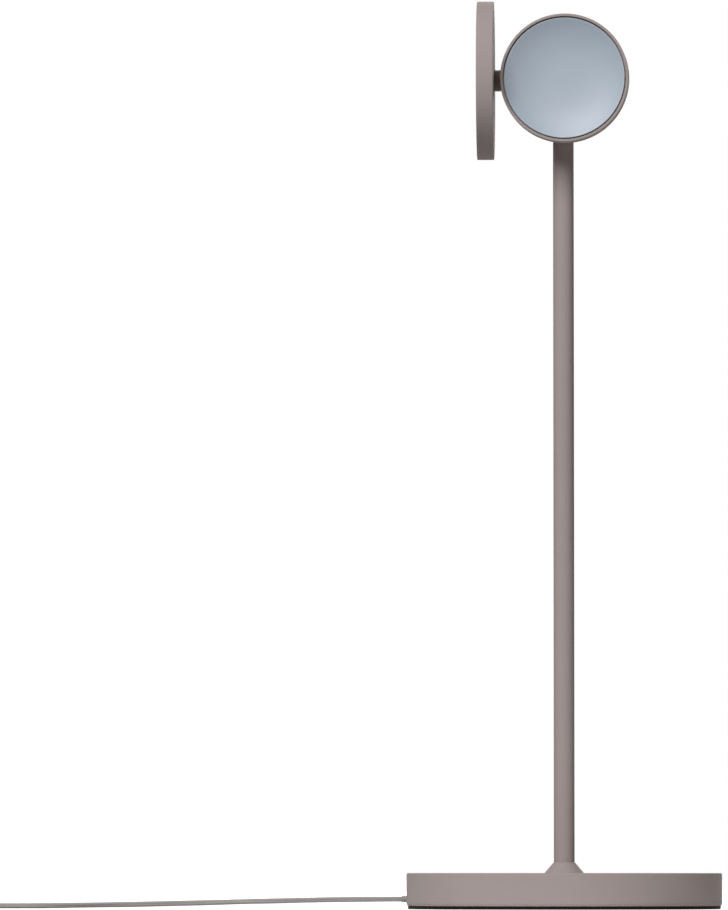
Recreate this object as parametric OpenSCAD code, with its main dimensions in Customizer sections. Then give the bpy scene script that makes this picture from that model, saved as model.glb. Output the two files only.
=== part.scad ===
// LED desk lamp: a round weighted base, a slim pole and two round lamps on a swivelling head.
// Millimetres, +Z up, -Y towards the user. The origin is the middle of the base's underside.

/* [Base] */
// Diameter of the base cover
base_d = 155; // [145:1:175]
// Height of the base cover's top above the table
base_h = 17.7; // [17.4:0.1:22]
// Thickness of the base cover's side wall
base_wall = 2; // [1.6:0.1:2.6]
// Thickness of the base cover's top
base_top = 2; // [1.6:0.1:2.2]
// Rounding of the base cover's top edge
base_round = 0.8; // [0.3:0.1:1.4]
// Width of the bevel at the base cover's lower edge
base_chamfer = 0.5; // [0.3:0.1:1]
// Height of that bevel
base_chamfer_h = 1.3; // [0.5:0.1:2]
// How far the foot pad stays inside the base cover's edge
foot_inset = 0.7; // [0.3:0.1:1.5]
// Thickness of the foot pad
foot_t = 1.6; // [1:0.1:1.8]
// Thickness of the bottom plate
plate_t = 1.6; // [1:0.1:1.8]
// Thickness of the ballast weight
weight_t = 5; // [3:0.1:5.4]
// Gap between the ballast weight and the cover's side wall
weight_gap = 2; // [1.6:0.1:4]
// Diameter of the hole in the middle of the ballast weight
weight_hole = 40; // [38:1:44]
// Diameter of the circle of cover bosses
boss_circle = 120; // [110:1:126]
// Diameter of a cover boss
boss_d = 7; // [6:0.1:9]
// Number of cover bosses, each with a screw through the bottom plate
boss_count = 4; // [4:2:8]

/* [Touch control] */
// Distance from the pole to the touch pad
touch_reach = 46; // [40:1:50]
// Diameter of the touch pad
touch_d = 15; // [12:0.5:18]
// Width of the insulating ring round the touch pad
touch_ring_w = 1.2; // [1:0.1:2]
// Length of the driver board, along X
board_l = 36; // [32:1:44]
// Width of the driver board, along Y
board_w = 26; // [24:1:28]
// Thickness of the driver board
board_t = 1.6; // [1:0.1:1.6]
// Gap between the driver board and the cover's underside
board_drop = 3.1; // [2.9:0.1:3.3]

/* [Pole] */
// Outer diameter of the pole
pole_d = 10.2; // [10:0.1:12]
// Wall of the pole
pole_wall = 1.1; // [0.8:0.05:1.2]
// Length of the pole
pole_l = 364; // [250:1:480]
// Height of the cone that carries the pole
cone_h = 5.3; // [3:0.1:9]
// Diameter of the cone's foot
cone_d = 19.4; // [16:0.1:26]
// How much wider than the pole the cone's top is
cone_lip = 0.2; // [0.1:0.05:0.6]
// How far the threaded nipple reaches into the pole
nipple_reach = 23; // [12:1:40]
// Wall of the threaded nipple
nipple_wall = 1.4; // [1:0.1:1.6]
// Width across the flats of the nipple's nut
nut_flats = 13; // [12:0.5:14]
// Height of the nipple's nut
nut_h = 5; // [4:0.1:5.2]
// Diameter of the nut's washer
washer_d = 22; // [18:0.5:26]
// Thickness of the nut's washer
washer_t = 1.5; // [1:0.1:1.8]
// Diameter of the wire in the pole
wire_d = 2.4; // [1.8:0.1:2.5]

/* [Head] */
// Length of the spindle's plug inside the pole
plug_l = 20; // [10:1:30]
// Height of the spindle's shoulder on the pole
shoulder_h = 1.5; // [1:0.1:3]
// Diameter of the spindle
spindle_d = 5; // [4.6:0.1:5.4]
// Bore of the spindle
spindle_bore = 2.8; // [2.6:0.1:3]
// Outer diameter of the hub's sleeve, on which the small lamp's ring turns
sleeve_d = 8; // [7.6:0.1:8.4]
// Diameter of the hub
hub_d = 12; // [11.8:0.1:13]
// Height of the hub
hub_h = 16; // [15:0.1:18]
// Height of the lamps' common axis above the hub's underside
axis_rise = 8.6; // [8:0.1:9.4]
// Thickness of the hub's floor
hub_floor = 1.8; // [1.4:0.1:2.4]
// Wall of the hub round its cavity
hub_wall = 1.1; // [0.8:0.05:1.2]
// Thickness of the friction washer
friction_t = 0.8; // [0.5:0.1:1.2]
// Height of the spindle's nut
spindle_nut_h = 2.7; // [2:0.1:3]
// Thickness of the hub's cap
cap_t = 1.6; // [1:0.1:3]

/* [Hinge] */
// Diameter of the arm and of the knuckle's boss
arm_d = 10.6; // [10:0.1:11.4]
// Bore of the arm for the lamp wire
arm_bore = 4; // [3:0.1:4.2]
// Distance from the pole's axis to the hinge pin
hinge_x = 26; // [24:0.1:28]
// Distance from the hinge pin to the large lamp's back
hinge_back = 8.2; // [8:0.1:10]
// Diameter of the hinge pin
pin_d = 3; // [2.4:0.1:3.4]
// Thickness of the knuckle's tongue
tongue_t = 3.2; // [2.6:0.1:3.6]
// Thickness of each friction washer beside the tongue
side_washer_t = 0.3; // [0.2:0.05:0.5]
// Radius of the tongue's round end
tongue_r = 4.2; // [3.8:0.1:4.4]
// Radius of the fork's round ends
fork_r = 4.4; // [4:0.1:4.6]

/* [Lamps] */
// Diameter of the large lamp
large_d = 78.2; // [70:0.1:90]
// Diameter of the small lamp
small_d = 63.2; // [56:0.1:64]
// Thickness of both lamps
lamp_t = 8.3; // [8.1:0.1:9.4]
// Wall of the lamp housings
lamp_wall = 1.3; // [1:0.05:1.6]
// Thickness of the lamp housings' back
lamp_back = 1.2; // [1:0.1:1.3]
// Rounding of the housings' edges
lamp_edge = 0.35; // [0.1:0.05:0.45]
// Width of the groove between housing and diffuser
groove_w = 0.7; // [0.6:0.05:1.2]
// How far the ring in the groove stays behind the diffuser's edge
ring_drop = 0.9; // [0.2:0.05:1]
// Width of the ledge under the diffuser
ledge_w = 1.8; // [1.2:0.1:2]
// Width of the diffuser's flat edge
lip_w = 0.4; // [0.3:0.05:1]
// Depth of the diffuser's dish from its edge to its middle
dish_sag = 4; // [1.5:0.1:4.2]
// Thickness of the diffuser
dish_t = 0.8; // [0.7:0.05:1]
// Thickness of the LED boards
led_board_t = 0.8; // [0.6:0.1:0.9]
// Diameter of the hole in the middle of the LED boards
led_board_hole = 9.6; // [9.2:0.1:11]
// Length, width and height of an LED
led_size = [3.5, 2.8, 0.7];
// Number of LEDs in the large lamp
large_leds_count = 24; // [12:1:30]
// Number of LEDs in the small lamp
small_leds_count = 18; // [9:3:21]
// Distance from the large board's edge to the middle of its LEDs
large_led_inset = 8; // [4:0.5:10]
// Distance from the small board's edge to the middle of its LEDs
small_led_inset = 5; // [3:0.5:6]
// Distance from the pole's axis to the small lamp's back
small_back = 19; // [12:0.1:22]
// Turn of the small lamp to the left, as photographed
small_yaw = 2.5; // [0:0.1:3.5]
// Sideways offset of the small lamp on its bracket
small_shift = 1.9; // [0:0.1:2.4]
// How far the small lamp's middle hangs below the large lamp's
small_drop = 1.2; // [0:0.1:1.6]
// Height of the small lamp's ring on the sleeve
ring_h = 11.4; // [10:0.1:13]
// Wall of the small lamp's ring
ring_wall = 2.1; // [1.6:0.1:2.3]
// Width of the small lamp's bracket
bracket_w = 12; // [10:0.1:14]
// Height of the small lamp's bracket
bracket_h = 9; // [7:0.1:10]
// Distance between the small lamp's two mounting screws
small_screw_pitch = 6; // [5:0.1:7]
// Distance between the large lamp's two mounting screws
large_screw_pitch = 5.2; // [4.6:0.1:5.4]

/* [Screws] */
// Diameter of the bottom plate's screws
screw_d = 3; // [2.5:0.1:3.2]
// Length of the bottom plate's screws
screw_l = 9; // [6:0.5:9.5]
// Diameter of the small screws in lamps, board and clamp
small_screw_d = 2; // [1.6:0.1:2.2]
// Height of the small screws' heads
small_head_h = 0.8; // [0.6:0.1:0.9]
// Clearance round parts that are fitted in one another
fit_gap = 0.05; // [0.03:0.01:0.08]

/* [Cord and adapter] */
// Diameter of the cord
cord_d = 2.6; // [2.6:0.1:2.7]
// Height of the cord's middle where it leaves the base
exit_h = 4.9; // [4.6:0.1:5.4]
// Length of the grommet's nose
nose_l = 2.4; // [2:0.1:6]
// Diameter of the grommet's nose at the cover
nose_d = 3.4; // [3.2:0.1:4.2]
// Diameter of the grommet's neck in the cover
neck_d = 4.4; // [4.2:0.1:4.6]
// Diameter of the grommet's inner flange
flange_d = 6.4; // [5.6:0.1:7]
// Length of the adapter's housing
adapter_l = 48; // [40:1:60]
// Width of the adapter's housing
adapter_w = 34; // [30:1:44]
// Height of the adapter's housing
adapter_h = 24; // [20:1:32]
// Wall of the adapter's housing
adapter_wall = 2; // [1.5:0.1:3]
// Thickness of the adapter's lid
lid_t = 4; // [3:0.1:5]
// Rounding of the adapter's upright edges
adapter_round = 4; // [2.5:0.5:6]
// Length, thickness and reach of an adapter blade
blade_size = [6.3, 1.5, 16];
// Distance between the adapter's blades
blade_pitch = 12.7; // [12.7:0.1:13]
// Length of the adapter's strain relief
relief_l = 14; // [10:1:20]
// Thickness of the ties round the coil
tie_t = 0.6; // [0.4:0.1:1]
// Width of the ties round the coil
tie_w = 4; // [3:0.5:6]

/* [Hidden] */
$fn = 96;

// Colours of the finishes
taupe = [0.60, 0.56, 0.55];
black = [0.16, 0.14, 0.13];
rubber = [0.08, 0.08, 0.08];
umber = [0.30, 0.27, 0.25];
opal = [0.80, 0.83, 0.88];
steel = [0.70, 0.71, 0.72];
iron = [0.32, 0.32, 0.33];
brass = [0.78, 0.65, 0.38];
green = [0.10, 0.35, 0.20];
white = [0.93, 0.93, 0.92];
cord_grey = [0.57, 0.56, 0.55];

// A hair beyond a face that is cut through
cut = 1;
// Gap between pieces that turn on each other
run_gap = 0.05;

// Base, from the table up
plate_z = foot_t;
weight_z = plate_z + plate_t;
weight_top = weight_z + weight_t;
cover_under = base_h - base_top;
cover_r = base_d / 2 - base_wall;
weight_r = cover_r - weight_gap;
channel_w = cord_d + 3.4;
screw_hole = screw_d + 2 * fit_gap;
screw_head_d = 2 * screw_d;
screw_head_h = foot_t - 0.4;
boss_depth = screw_l - plate_t + 0.5;
small_hole = small_screw_d + 2 * fit_gap;
small_head_d = small_screw_d + 1.6;

// Driver board under the touch pad
board_top = cover_under - board_drop;
board_z = board_top - board_t;
board_x = board_l / 2 - 4;
board_edge_y = -touch_reach + board_w / 2;
post_d = small_screw_d + 4;
post_depth = 2;
pad_seat = cover_under + fit_gap;
ring_d = touch_d + 2 * fit_gap + 2 * touch_ring_w;
ring_flange_d = ring_d + 3;
ring_flange_t = 0.8;
ring_lip = 3;
contact_d = 3;

// Pole and nipple
cone_top_d = pole_d + cone_lip;
pole_z = base_h + cone_h;
pole_top = pole_z + pole_l;
pole_bore = pole_d - 2 * pole_wall;
nipple_d = pole_bore - 2 * fit_gap;
nipple_hole = nipple_d + 2 * fit_gap;
washer_z = cover_under - washer_t;
nut_z = washer_z - nut_h;
nipple_z = nut_z - 1.6;
wire_low = nipple_z - wire_d / 2 - 0.2;

// Head
seat_z = pole_top + shoulder_h;
sleeve_z = seat_z + run_gap;
hub_z = seat_z + ring_h + 2 * run_gap;
hub_bore = spindle_d + 2 * run_gap;
floor_z = hub_z + hub_floor;
cavity_d = hub_d - 2 * hub_wall;
hub_top = hub_z + hub_h;
head_z = hub_z + axis_rise;
friction_z = floor_z + run_gap;
friction_d = cavity_d - 1;
spindle_nut_z = friction_z + friction_t;
spindle_nut_flats = spindle_d + 3;
spindle_top = spindle_nut_z + spindle_nut_h + 0.6;
lamp_wire_d = arm_bore / 2;
cap_spigot = 2.2;

// Hinge of the large lamp
large_x = hinge_x + hinge_back;
slot_w = tongue_t + 2 * side_washer_t + 2 * fit_gap;
hinge_room = 0.3;
fork_root = hinge_x - max(tongue_r, fork_r) - hinge_room;
boss_end = hinge_x + max(tongue_r, fork_r) + hinge_room;
pin_l = 2 * sqrt(pow(arm_d / 2, 2) - pow(pin_d / 2, 2)) - 0.2;
tongue_bore = pin_d + 2 * run_gap;
side_washer_d = 2 * tongue_r - 1.2;

// Lamps, measured along their own axis from back to front
board_front = lamp_back + led_board_t;
dish_under = board_front + led_size[2] + 0.2;
dish_z = dish_under + dish_t;
lip_top = dish_z + dish_sag;
skirt_z = dish_under + 1;
retainer_top = lip_top - ring_drop;
mount_screw_l = 3;
board_screw_depth = 0.8;
board_screw_r = 10;
dish_steps = 16;

// Ring and bracket of the small lamp
ring_bore = sleeve_d + 2 * run_gap;
ring_r = ring_bore / 2 + ring_wall;
bracket_z = sleeve_z + ring_h / 2;
bracket_y = bracket_z - head_z;

// Cord: its points from the cover's wall to the coil, chosen by hand
cord_r = cord_d / 2;
wall_x = -base_d / 2;
exit_x = wall_x - nose_l;
coil_z = tie_t + cord_r + run_gap;
coil_x = -306;
coil_pitch = cord_d + 0.5;
coil_turns = 4;
coil_layers = 4;
coil_inner = 9.4;
coil_outer = coil_inner + coil_pitch * coil_turns;
coil_y = coil_outer;
coil_exit_turn = 0.25;
coil_steps = 24;
coil_sides = 6;
coil_last = coil_turns * coil_layers + coil_exit_turn;
coil_end_r = coil_outer + coil_pitch * coil_exit_turn;
coil_top_z = coil_z + coil_pitch * (coil_layers - 1);
coil_lead = 3;
coil_tail = 13;
cord_inside = 4;
run_sides = 8;
wire_sides = 12;
run_points = [
    [wall_x, 0, exit_h], [-86, 0, 4.9], [-95, 0, 4.8], [-108, 0, 4.7], [-121, 0, 4.5],
    [-134, 0, 4.2], [-147, 0, 3.9], [-160, 0, 3.6], [-173, 0, 3.2], [-186, 0, 2.9],
    [-199, 0, 2.6], [-212, 0, 2.3], [-225, 0, 2.1], [-238, 0, 1.9], [-251, 0, 1.7],
    [-264, 0, 1.6], [-277, 0, 1.6], [-288, 0, 1.75],
    [-297, 0, coil_z], [coil_x + coil_lead, 0, coil_z]
];

// Clamp on the lead inside the base
clamp_x = -66;
clamp_l = 8;
clamp_pitch = 13;
clamp_w = 19;
clamp_t = 2;
clamp_depth = 3;

// Lead inside the base, from the grommet to the driver board
lead_end_x = -10;
lead_points = [
    [wall_x, 0, exit_h], [-16, 0, exit_h], [-11, -8, exit_h + 1.7],
    [lead_end_x, -17, board_top - board_t / 2], [lead_end_x, board_edge_y, board_top - board_t / 2]
];
wire_points = [
    [8, board_edge_y, board_top - board_t / 2], [8, -17, board_top - board_t / 2], [5, -9, wire_low],
    [0, 0, wire_low], [0, 0, spindle_top]
];
lamp_wire_points = [
    [0, 0, spindle_top + 0.3], [0, 0, head_z], [-fork_root + 0.3, 0, head_z]
];

// Adapter, at the end of the cord
adapter_x = coil_x - coil_end_r;
relief_y = coil_y + coil_tail;
adapter_y = relief_y + relief_l;
lid_z = adapter_h - lid_t;
relief_hole = 5;

// Ties round the coil
tie_angles = [45, 225];
tie_gap = 0.35;
tie_in = coil_inner - cord_r - tie_gap;
tie_top = coil_top_z + cord_r + tie_gap;

// Points of a smooth curve through p, with two steps to each stretch
function smooth(p) = concat(
    [for (i = [0 : len(p) - 2], t = [0, 0.5])
        let (a = p[max(i - 1, 0)], b = p[i], c = p[i + 1], d = p[min(i + 2, len(p) - 1)])
        b + t / 2 * (c - a) + t * t / 2 * (2 * a - 5 * b + 4 * c - d)
            + t * t * t / 2 * (3 * b - a - 3 * c + d)],
    [p[len(p) - 1]]
);

function unit(v) = v / norm(v);

// Direction of a line of points at its point i
function heading(p, i) = unit(p[min(i + 1, len(p) - 1)] - p[max(i - 1, 0)]);

// A tube with flat ends along a line of points that never runs along the vector aside
module tube(p, r, sides, aside = [0, 0, 1]) {
    rings = [for (i = [0 : len(p) - 1])
        let (t = heading(p, i), across = unit(cross(t, aside)), up = cross(across, t))
        for (j = [0 : sides - 1])
            let (a = 360 * (j + 0.5) / sides)
            p[i] + r * cos(a) * across + r * sin(a) * up];
    last = sides * (len(p) - 1);
    walls = [for (i = [0 : len(p) - 2], j = [0 : sides - 1])
        let (a = i * sides + j, b = i * sides + (j + 1) % sides)
        each [[a, b, b + sides], [a, b + sides, a + sides]]];
    caps = [for (j = [1 : sides - 2])
        each [[0, j + 1, j], [last, last + j, last + j + 1]]];
    polyhedron(points = rings, faces = concat(walls, caps), convexity = 10);
}

// Radius and height of the coil after so many turns: it winds in and out, and climbs between
function coil_radius(turn) =
    turn > coil_turns * coil_layers
        ? coil_outer + coil_pitch * (turn - coil_turns * coil_layers)
        : coil_inner + coil_pitch * abs(turn % (2 * coil_turns) - coil_turns);
function climb(t) = t <= 0 ? 0 : t >= 1 ? 1 : (1 - cos(180 * t)) / 2;
function coil_height(turn) = coil_z + coil_pitch
    * (climb(2 * (turn - coil_turns) + 0.5)
        + climb(2 * (turn - 2 * coil_turns) + 0.5)
        + climb(2 * (turn - 3 * coil_turns) + 0.5));
function coil_point(turn) = [
    coil_x - coil_radius(turn) * sin(360 * turn),
    coil_y - coil_radius(turn) * cos(360 * turn),
    coil_height(turn)
];
coil_line = concat(
    [[coil_x + coil_lead, 0, coil_z]],
    [for (i = [0 : coil_last * coil_steps]) coil_point(i / coil_steps)],
    [for (k = [1 : 3]) [adapter_x, coil_y + k * coil_tail / 3, coil_top_z]],
    [[adapter_x, adapter_y + adapter_wall + cord_inside, coil_top_z]]
);
// Greatest radius of the coil's turns in the direction a
function coil_reach(a) = max([for (k = [0 : coil_last])
    let (turn = k + (270 - a) / 360)
    turn <= coil_last ? coil_radius(turn) : 0]);
half_loop = coil_steps / 2;
coil_gap = min([for (i = [0 : len(coil_line) - 1 - half_loop])
    min([for (j = [i + half_loop : len(coil_line) - 1]) norm(coil_line[i] - coil_line[j])])])
    - cord_d;
echo(coil_least_gap = coil_gap);

// A flat rectangle with round corners, centred
module round_rect(l, w, r) {
    square([l - 2 * r, w], center = true);
    square([l, w - 2 * r], center = true);
    for (x = [-1, 1], y = [-1, 1])
        translate([x * (l / 2 - r), y * (w / 2 - r)]) circle(r = r);
}

// A hexagon nut with its bore, standing on z = 0
module nut(flats, h, bore) {
    difference() {
        cylinder(d = flats / cos(30), h = h, $fn = 6);
        translate([0, 0, -cut]) cylinder(d = bore, h = h + 2 * cut);
    }
}

// A flat ring, standing on z = 0
module ring(outer, bore, h) {
    difference() {
        cylinder(d = outer, h = h);
        translate([0, 0, -cut]) cylinder(d = bore, h = h + 2 * cut);
    }
}

// A small screw whose head stands on z = 0 and whose shank goes down
module small_screw(l) {
    cylinder(d = small_head_d, h = small_head_h);
    translate([0, 0, -l]) cylinder(d = small_screw_d, h = l + small_head_h / 2);
}

module at_bosses() {
    for (i = [0 : boss_count - 1])
        rotate([0, 0, 45 + 360 * i / boss_count]) translate([boss_circle / 2, 0, 0]) children();
}

module at_board_posts() {
    for (x = [-board_x, board_x]) translate([x, -touch_reach, 0]) children();
}

// Base, from the table up

module foot_pad() {
    color(rubber)
        difference() {
            cylinder(r = base_d / 2 - foot_inset, h = foot_t);
            at_bosses() translate([0, 0, -cut]) cylinder(d = screw_head_d + 1, h = foot_t + 2 * cut);
        }
}

module bottom_plate() {
    color(steel)
        translate([0, 0, plate_z])
            difference() {
                cylinder(r = cover_r - 4 * fit_gap, h = plate_t);
                at_bosses() translate([0, 0, -cut]) cylinder(d = screw_hole, h = plate_t + 2 * cut);
            }
}

module bottom_screws() {
    color(steel)
        at_bosses() translate([0, 0, plate_z]) {
            translate([0, 0, -screw_head_h]) cylinder(d = screw_head_d, h = screw_head_h);
            cylinder(d = screw_d, h = screw_l);
        }
}

module base_cover() {
    r = base_d / 2;
    color(taupe)
        difference() {
            union() {
                rotate_extrude() difference() {
                    union() {
                        translate([0, foot_t]) polygon([
                            [0, 0], [r - base_chamfer, 0], [r, base_chamfer_h],
                            [r, base_h - foot_t - base_round],
                            [r - base_round, base_h - foot_t - base_round],
                            [r - base_round, base_h - foot_t], [0, base_h - foot_t]
                        ]);
                        intersection() {
                            translate([r - base_round, base_h - base_round]) circle(r = base_round);
                            translate([r - base_round, base_h - base_round]) square(base_round);
                        }
                    }
                    translate([-cut, foot_t - cut]) square([cover_r + cut, cover_under - foot_t + cut]);
                }
                at_bosses() translate([0, 0, weight_z]) cylinder(d = boss_d, h = base_h - weight_z - 1);
                at_board_posts()
                    translate([0, 0, board_top]) cylinder(d = post_d, h = base_h - board_top - 1);
            }
            at_bosses()
                translate([0, 0, weight_z - cut]) cylinder(d = screw_hole, h = boss_depth + cut);
            at_board_posts()
                translate([0, 0, board_top - cut]) cylinder(d = small_hole, h = post_depth + cut);
            translate([0, 0, cover_under - cut]) cylinder(d = nipple_hole, h = base_top + 2 * cut);
            translate([0, -touch_reach, cover_under - cut])
                cylinder(d = ring_d + 2 * fit_gap, h = base_top + 2 * cut);
            translate([wall_x - cut, 0, exit_h])
                rotate([0, 90, 0]) cylinder(d = neck_d + 2 * fit_gap, h = base_wall + 2 * cut);
        }
}

module base_weight() {
    color(iron)
        translate([0, 0, weight_z])
            difference() {
                cylinder(r = weight_r, h = weight_t);
                translate([0, 0, -cut]) cylinder(d = weight_hole, h = weight_t + 2 * cut);
                translate([-weight_r - cut, -channel_w / 2, -cut])
                    cube([weight_r, channel_w, weight_t + 2 * cut]);
                at_bosses() translate([0, 0, -cut]) cylinder(d = boss_d + 1, h = weight_t + 2 * cut);
                for (y = [-1, 1])
                    translate([clamp_x, y * clamp_pitch / 2, weight_t - clamp_depth])
                        cylinder(d = small_hole, h = clamp_depth + cut);
            }
}

// Touch control

module driver_board() {
    color(green)
        difference() {
            translate([-board_l / 2, -touch_reach - board_w / 2, board_z])
                cube([board_l, board_w, board_t]);
            at_board_posts() translate([0, 0, board_z - cut]) cylinder(d = small_hole, h = board_t + 2 * cut);
        }
}

module board_parts() {
    color(black)
        translate([0, -touch_reach, board_top]) {
            translate([5, 4, 0]) cube([5, 5, 1.2]);
            translate([-10.5, 4, 0]) cube([6, 6, 2]);
            translate([4, -10, 0]) cube([3.2, 1.6, 1.2]);
            translate([9, -10, 0]) cube([3.2, 1.6, 1.2]);
            translate([-12, -11, 0]) cube([8, 4, 2.2]);
        }
}

module board_screws() {
    color(steel)
        at_board_posts()
            translate([0, 0, board_z]) rotate([180, 0, 0]) small_screw(board_t + post_depth - 0.3);
}

module touch_pad() {
    color(steel)
        translate([0, -touch_reach, pad_seat]) cylinder(d = touch_d, h = base_h - pad_seat);
}

module touch_ring() {
    color(black)
        translate([0, -touch_reach, 0])
            difference() {
                union() {
                    translate([0, 0, cover_under - ring_flange_t])
                        cylinder(d = ring_d, h = base_h - cover_under + ring_flange_t);
                    translate([0, 0, cover_under - ring_flange_t])
                        cylinder(d = ring_flange_d, h = ring_flange_t - fit_gap);
                }
                translate([0, 0, cover_under]) cylinder(d = touch_d + 2 * fit_gap, h = base_top + cut);
                translate([0, 0, cover_under - ring_flange_t - cut])
                    cylinder(d = touch_d - 2 * ring_lip, h = ring_flange_t + 2 * cut);
            }
}

module touch_contact() {
    color(brass)
        translate([0, -touch_reach, board_top]) {
            cylinder(d = contact_d, h = pad_seat - board_top);
            cylinder(d = contact_d + 2, h = 0.4);
        }
}

// Cord entry

module cord_grommet() {
    inner_x = -cover_r + 2 * fit_gap;
    color(rubber)
        difference() {
            union() {
                translate([exit_x, 0, exit_h])
                    rotate([0, 90, 0]) cylinder(d1 = cord_d + 0.5, d2 = nose_d, h = nose_l);
                translate([wall_x, 0, exit_h])
                    rotate([0, 90, 0]) cylinder(d = neck_d, h = base_wall + 3 * fit_gap);
                intersection() {
                    translate([inner_x, 0, exit_h]) rotate([0, 90, 0]) cylinder(d = flange_d, h = 1.5);
                    translate([inner_x - cut, -flange_d, weight_z + fit_gap])
                        cube([2 * cut + 1.5, 2 * flange_d, flange_d]);
                }
            }
            translate([exit_x - cut, 0, exit_h])
                rotate([0, 90, 0]) cylinder(d = cord_d + 2 * fit_gap, h = nose_l + base_wall + 4);
        }
}

module cord_clamp() {
    color(black)
        difference() {
            union() {
                translate([clamp_x - clamp_l / 2, -clamp_w / 2, weight_top])
                    cube([clamp_l, clamp_w, clamp_t]);
                translate([clamp_x - clamp_l / 2, -channel_w / 2 + 0.1, exit_h + cord_r + fit_gap])
                    cube([clamp_l, channel_w - 0.2, weight_top + 1 - exit_h - cord_r - fit_gap]);
            }
            for (y = [-1, 1])
                translate([clamp_x, y * clamp_pitch / 2, weight_top - cut])
                    cylinder(d = small_hole, h = clamp_t + 2 * cut);
        }
}

module clamp_screws() {
    color(steel)
        for (y = [-1, 1])
            translate([clamp_x, y * clamp_pitch / 2, weight_top + clamp_t])
                small_screw(clamp_t + clamp_depth - 0.3);
}

module inner_lead() {
    color(cord_grey) tube(lead_points, cord_r, wire_sides);
}

// Pole

module pole_cone() {
    color(taupe)
        translate([0, 0, base_h])
            difference() {
                cylinder(d1 = cone_d, d2 = cone_top_d, h = cone_h);
                translate([0, 0, -cut]) cylinder(d = nipple_hole, h = cone_h + 2 * cut);
            }
}

module pole() {
    color(taupe) translate([0, 0, pole_z]) ring(pole_d, pole_bore, pole_l);
}

module pole_nipple() {
    color(brass)
        translate([0, 0, nipple_z])
            ring(nipple_d, nipple_d - 2 * nipple_wall, pole_z + nipple_reach - nipple_z);
}

module pole_washer() {
    color(steel) translate([0, 0, washer_z]) ring(washer_d, nipple_hole, washer_t);
}

module pole_nut() {
    color(brass) translate([0, 0, nut_z]) nut(nut_flats, nut_h, nipple_hole);
}

module pole_wire() {
    color(white) tube(wire_points, wire_d / 2, wire_sides, [1, 0, 0]);
}

// Head

module pole_spindle() {
    color(steel)
        difference() {
            union() {
                translate([0, 0, pole_top - plug_l]) cylinder(d = pole_bore - 2 * fit_gap, h = plug_l + 1);
                translate([0, 0, pole_top]) cylinder(d = pole_d, h = shoulder_h);
                translate([0, 0, pole_top]) cylinder(d = spindle_d, h = spindle_top - pole_top);
            }
            translate([0, 0, pole_top - plug_l - cut])
                cylinder(d = spindle_bore, h = spindle_top - pole_top + plug_l + 2 * cut);
        }
}

module friction_washer() {
    color(brass) translate([0, 0, friction_z]) ring(friction_d, spindle_d + 2 * fit_gap, friction_t);
}

module spindle_nut() {
    color(steel)
        translate([0, 0, spindle_nut_z])
            nut(spindle_nut_flats, spindle_nut_h, spindle_d + 2 * fit_gap);
}

module at_pin() {
    translate([-hinge_x, 0, head_z]) rotate([90, 0, 0]) children();
}

module head_hub() {
    color(black)
        difference() {
            union() {
                translate([0, 0, sleeve_z]) cylinder(d = sleeve_d, h = hub_z - sleeve_z + 1);
                translate([0, 0, hub_z]) cylinder(d = hub_d, h = hub_h);
                translate([-fork_root, 0, head_z]) rotate([0, 90, 0]) cylinder(d = arm_d, h = fork_root);
                intersection() {
                    translate([-large_x, 0, head_z]) rotate([0, 90, 0]) cylinder(d = arm_d, h = large_x);
                    union() {
                        at_pin() cylinder(r = fork_r, h = arm_d + cut, center = true);
                        translate([-hinge_x, -arm_d, head_z - fork_r])
                            cube([hinge_x - fork_root + 1, 2 * arm_d, 2 * fork_r]);
                    }
                }
            }
            translate([0, 0, sleeve_z - cut]) cylinder(d = hub_bore, h = floor_z - sleeve_z + 2 * cut);
            translate([0, 0, floor_z]) cylinder(d = cavity_d, h = hub_h);
            translate([-large_x, 0, head_z]) rotate([0, 90, 0]) cylinder(d = arm_bore, h = large_x);
            translate([-large_x, -slot_w / 2, head_z - arm_d])
                cube([large_x - fork_root, slot_w, 2 * arm_d]);
            at_pin() cylinder(d = pin_d + 2 * fit_gap, h = 2 * arm_d, center = true);
        }
}

module hub_cap() {
    color(black) {
        translate([0, 0, hub_top]) cylinder(d = hub_d, h = cap_t - 0.5);
        translate([0, 0, hub_top + cap_t - 0.5]) cylinder(d1 = hub_d, d2 = hub_d - 1, h = 0.5);
        translate([0, 0, hub_top - cap_spigot]) cylinder(d = cavity_d - 2 * fit_gap, h = cap_spigot + 0.5);
    }
}

module arm_wire() {
    color(white) tube(lamp_wire_points, lamp_wire_d / 2, wire_sides, [0, 1, 0]);
}

module hinge_pin() {
    color(steel) at_pin() cylinder(d = pin_d, h = pin_l, center = true);
}

module hinge_washers() {
    color(brass)
        for (side = [-1, 1])
            at_pin()
                translate([0, 0, side * (tongue_t + side_washer_t + fit_gap) / 2 - side_washer_t / 2])
                    ring(side_washer_d, tongue_bore, side_washer_t);
}

// What both lamps have, with its back on z = 0 and its front towards +Z

module screw_pair(pitch) {
    for (x = [-pitch / 2, pitch / 2]) translate([x, 0, 0]) children();
}

module at_board_screws() {
    for (a = [90, 210, 330]) rotate([0, 0, a]) translate([board_screw_r, 0, 0]) children();
}

module lamp_housing(d) {
    r = d / 2;
    e = lamp_edge;
    difference() {
        rotate_extrude() polygon([
            [0, 0], [r - e, 0], [r - 0.3 * e, 0.3 * e], [r, e],
            [r, lamp_t - e], [r - 0.3 * e, lamp_t - 0.3 * e], [r - e, lamp_t],
            [r - lamp_wall, lamp_t], [r - lamp_wall, lamp_back], [0, lamp_back]
        ]);
        at_board_screws()
            translate([0, 0, lamp_back - board_screw_depth]) cylinder(d = small_hole, h = lamp_back);
    }
}

function diffuser_r(d) = d / 2 - lamp_wall - groove_w;
function led_board_r(d) = diffuser_r(d) - ledge_w - 0.6;

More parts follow.
